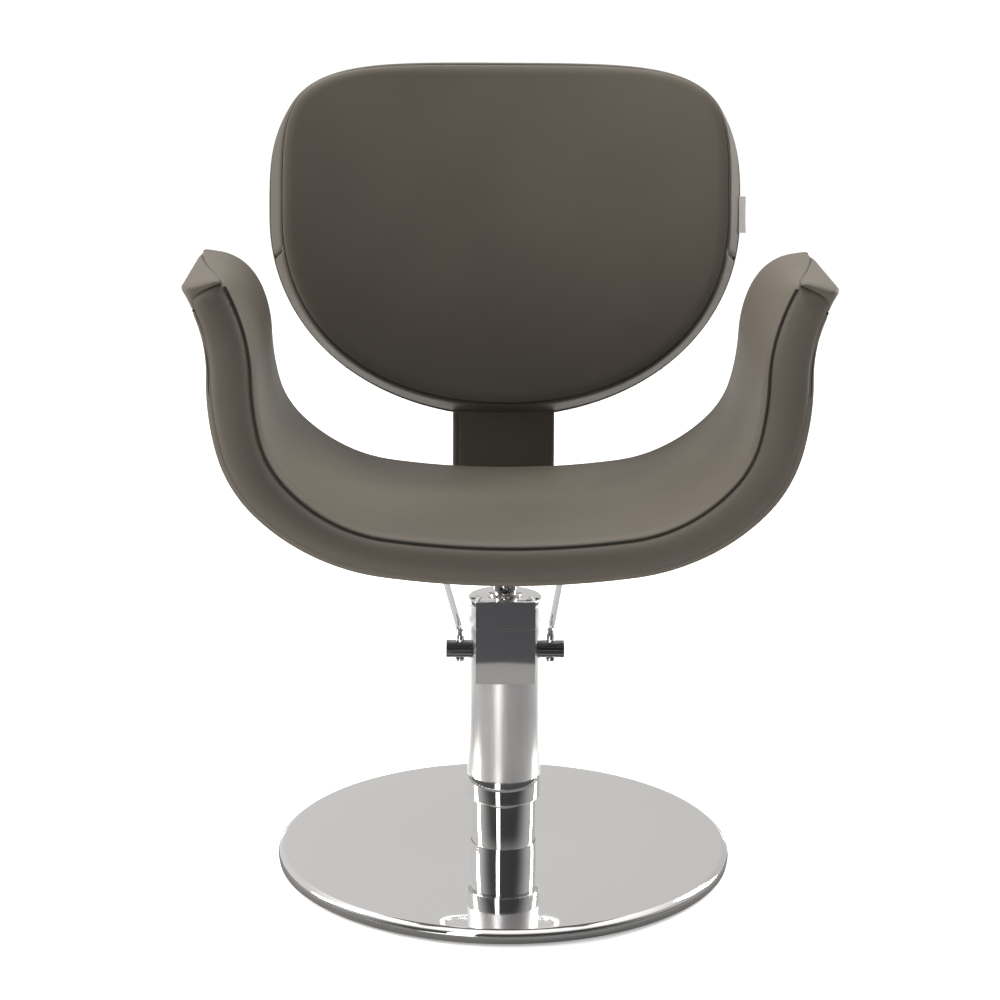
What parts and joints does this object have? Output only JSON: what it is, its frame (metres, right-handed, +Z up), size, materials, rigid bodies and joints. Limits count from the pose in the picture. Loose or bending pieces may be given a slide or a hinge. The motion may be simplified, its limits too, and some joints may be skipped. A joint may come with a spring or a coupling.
{
  "type": "salon styling chair",
  "caption": "Salon styling chair: bucket seat whose arms are one bent upholstered ribbon, wrapped oval backrest, hydraulic column with rear foot pedal, and a round mirror-polished base.",
  "frame": {"origin": "on the column's axis at the floor, at the middle of the underlay's bottom face", "axes": "+Z up along the column, the sitter faces -Y, +X is to the right of a viewer in front of the chair"},
  "size_m": [0.7496, 0.637, 0.9702],
  "materials": {
    "mirror_chrome": "mirror-polished plate",
    "dark_chrome": "dark polished plate",
    "satin_aluminium": "satin",
    "steel": "plain machined or zinc plated",
    "bronze": "sintered bush",
    "rubber": "black moulded",
    "leather": "smooth dark taupe, satin",
    "leather_band": "smooth dark taupe, satin",
    "plywood": "bare moulded plywood",
    "label": "plain woven tab"
  },
  "bodies": {
    "root": {"floor_pad": "rubber", "base_plate": "steel", "base_cover": "mirror_chrome", "column_flange": "steel", "flange_bolt_1": "steel", "flange_bolt_2": "steel", "flange_bolt_3": "steel", "flange_bolt_4": "steel", "column_foot": "mirror_chrome", "column_ring": "mirror_chrome", "column_sleeve": "satin_aluminium", "column_cap": "mirror_chrome", "rod_gland": "mirror_chrome", "hydraulic_cylinder": "steel", "rod_guide": "bronze", "rod_seal": "rubber", "pump_housing": "satin_aluminium", "pump_cover_lower": "mirror_chrome", "pump_cover_upper": "mirror_chrome", "plunger_spring": "steel"},
    "lift": {"piston": "steel", "piston_rod": "mirror_chrome", "swivel_bearing": "bronze"},
    "pedal": {"pedal_shaft": "steel", "pedal_hub_left": "dark_chrome", "pedal_hub_right": "dark_chrome", "pedal_screw_left": "mirror_chrome", "pedal_screw_right": "mirror_chrome", "pedal_bar": "mirror_chrome", "pedal_grip": "rubber"},
    "plunger": {"pump_plunger": "steel"},
    "seat": {"swivel_hub": "steel", "seat_plate": "steel", "seat_rail_left": "steel", "seat_rail_right": "steel", "seat_bolt_1": "steel", "seat_bolt_2": "steel", "seat_bolt_3": "steel", "seat_bolt_4": "steel", "bracket_bolt_left": "steel", "bracket_bolt_right": "steel", "back_bracket": "steel", "bracket_sleeve": "leather", "seat_outer_cover": "leather", "seat_shell": "plywood", "seat_cushion": "leather", "seat_front_band": "leather_band", "seat_rear_band": "leather_band", "arm_cap_left": "leather", "arm_cap_right": "leather", "back_pad": "leather", "back_shell": "plywood", "back_rear_cover": "leather", "back_strip_upper": "leather_band", "back_strip_lower": "leather_band", "back_screw_left": "steel", "back_screw_right": "steel", "side_tab": "label"}
  },
  "joints": [
    {"name": "seat_lift", "type": "slide", "parent": "root", "child": "lift", "axis": [0, 0, 1], "range_m": [0, 0.16]},
    {"name": "seat_swivel", "type": "hinge", "parent": "lift", "child": "seat", "pos_m": [0, 0, 0.38], "axis": [0, 0, 1], "continuous": true},
    {"name": "pump_pedal", "type": "hinge", "parent": "root", "child": "pedal", "pos_m": [0, -0.04, 0.283], "axis": [1, 0, 0], "range_deg": [-22, 0], "stiffness_Nm_per_rad": 6, "springref_deg": 28.65},
    {"name": "plunger_slide", "type": "slide", "parent": "root", "child": "plunger", "axis": [0, 0, 1], "range_m": [-0.0024, 0], "deforming": ["plunger_spring"]}
  ],
  "couplings": [
    {"joint": "plunger_slide", "follows": "pump_pedal", "m_per_rad": 0.0055}
  ]
}
